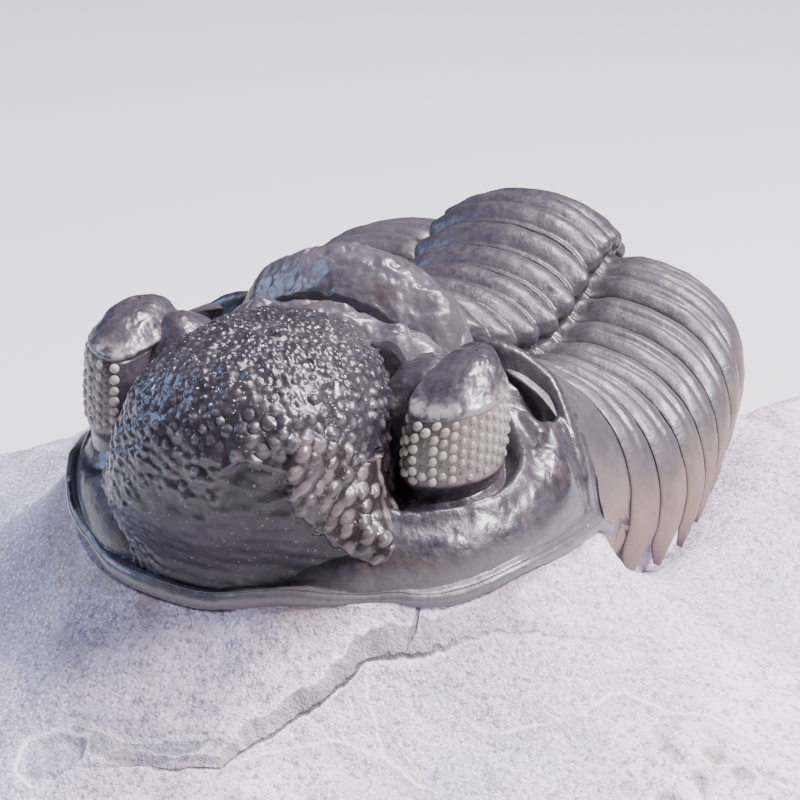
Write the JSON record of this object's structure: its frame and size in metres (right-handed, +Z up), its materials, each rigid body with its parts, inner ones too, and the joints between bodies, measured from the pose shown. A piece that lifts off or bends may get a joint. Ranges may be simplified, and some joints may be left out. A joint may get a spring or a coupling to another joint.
{
  "type": "trilobite fossil",
  "caption": "Trilobite fossil with a swollen pebbled head, compound eyes and an arched ribbed body, standing proud of a loose piece of pale limestone.",
  "frame": {"origin": "middle of the stone's box, at the level of its flat underside", "axes": "+Z up, -Y the way the head faces, +X the fossil's left side"},
  "size_m": [0.092, 0.082, 0.0387],
  "materials": {
    "fossil_shell": "dark brown-grey, waxed sheen",
    "pale_limestone": "matte, fine grained"
  },
  "bodies": {
    "root": {"matrix": "pale_limestone", "cephalon": "fossil_shell", "thorax_segment_01": "fossil_shell", "thorax_segment_02": "fossil_shell", "thorax_segment_03": "fossil_shell", "thorax_segment_04": "fossil_shell", "thorax_segment_05": "fossil_shell", "thorax_segment_06": "fossil_shell", "thorax_segment_07": "fossil_shell", "thorax_segment_08": "fossil_shell", "thorax_segment_09": "fossil_shell", "thorax_segment_10": "fossil_shell", "thorax_segment_11": "fossil_shell", "pygidium": "fossil_shell"}
  },
  "joints": []
}
